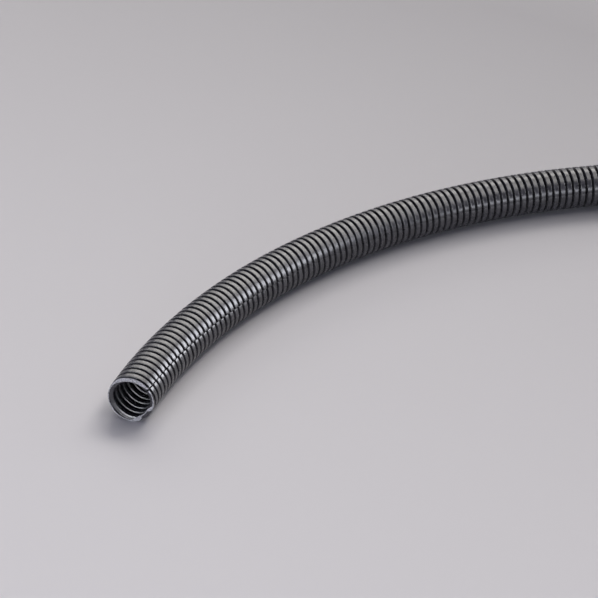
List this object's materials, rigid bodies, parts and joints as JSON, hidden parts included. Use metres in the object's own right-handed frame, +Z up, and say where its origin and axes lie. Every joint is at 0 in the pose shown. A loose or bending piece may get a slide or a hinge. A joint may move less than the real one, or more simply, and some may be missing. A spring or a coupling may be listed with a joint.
{
  "type": "corrugated conduit",
  "caption": "Slit corrugated plastic conduit for bundling cables, lying flat in a wide bend that runs out straight.",
  "frame": {"origin": "centre of the bounding box of the whole lying piece, at floor level", "axes": "+X along the straight run and out of its mouth, +Y towards the side that the bend's near mouth points away from, +Z up from the floor"},
  "size_m": [0.827, 0.3374, 0.024],
  "materials": {
    "conduit_plastic": "soft semi-gloss black polyethylene, as blown against the wave moulds"
  },
  "bodies": {
    "root": {"conduit": "conduit_plastic"}
  },
  "joints": []
}
